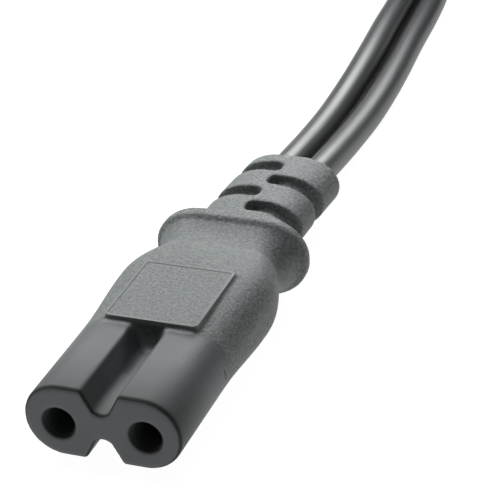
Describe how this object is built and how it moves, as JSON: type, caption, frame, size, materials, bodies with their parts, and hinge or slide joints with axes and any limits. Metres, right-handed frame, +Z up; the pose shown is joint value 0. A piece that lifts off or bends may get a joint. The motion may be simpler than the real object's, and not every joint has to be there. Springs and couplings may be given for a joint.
{
  "type": "power cord with figure-8 appliance connector",
  "caption": "Flat twin power cord with a moulded figure-8 appliance connector, slotted strain relief and a two-blade plug on its folded far end.",
  "frame": {"origin": "on the floor, below the middle of the connector's length and width", "axes": "+Z up, +Y from the mating face towards the flex, X across the two pin holes"},
  "size_m": [0.0562, 0.3153, 0.0173],
  "materials": {
    "moulded_pvc": "fine spark-eroded texture, polished nose",
    "contact_brass": "drawn",
    "flex_pvc": "extruded, satin",
    "blade_metal": "nickel plated",
    "tie_plastic": "satin"
  },
  "bodies": {
    "root": {"connector_body": "moulded_pvc", "contact_left": "contact_brass", "contact_right": "contact_brass", "cord_lead": "flex_pvc", "cord_hank": "flex_pvc", "cord_tail": "flex_pvc", "tie_left": "tie_plastic", "tie_right": "tie_plastic", "plug_body": "moulded_pvc", "blade_left": "blade_metal", "blade_right": "blade_metal"}
  },
  "joints": []
}
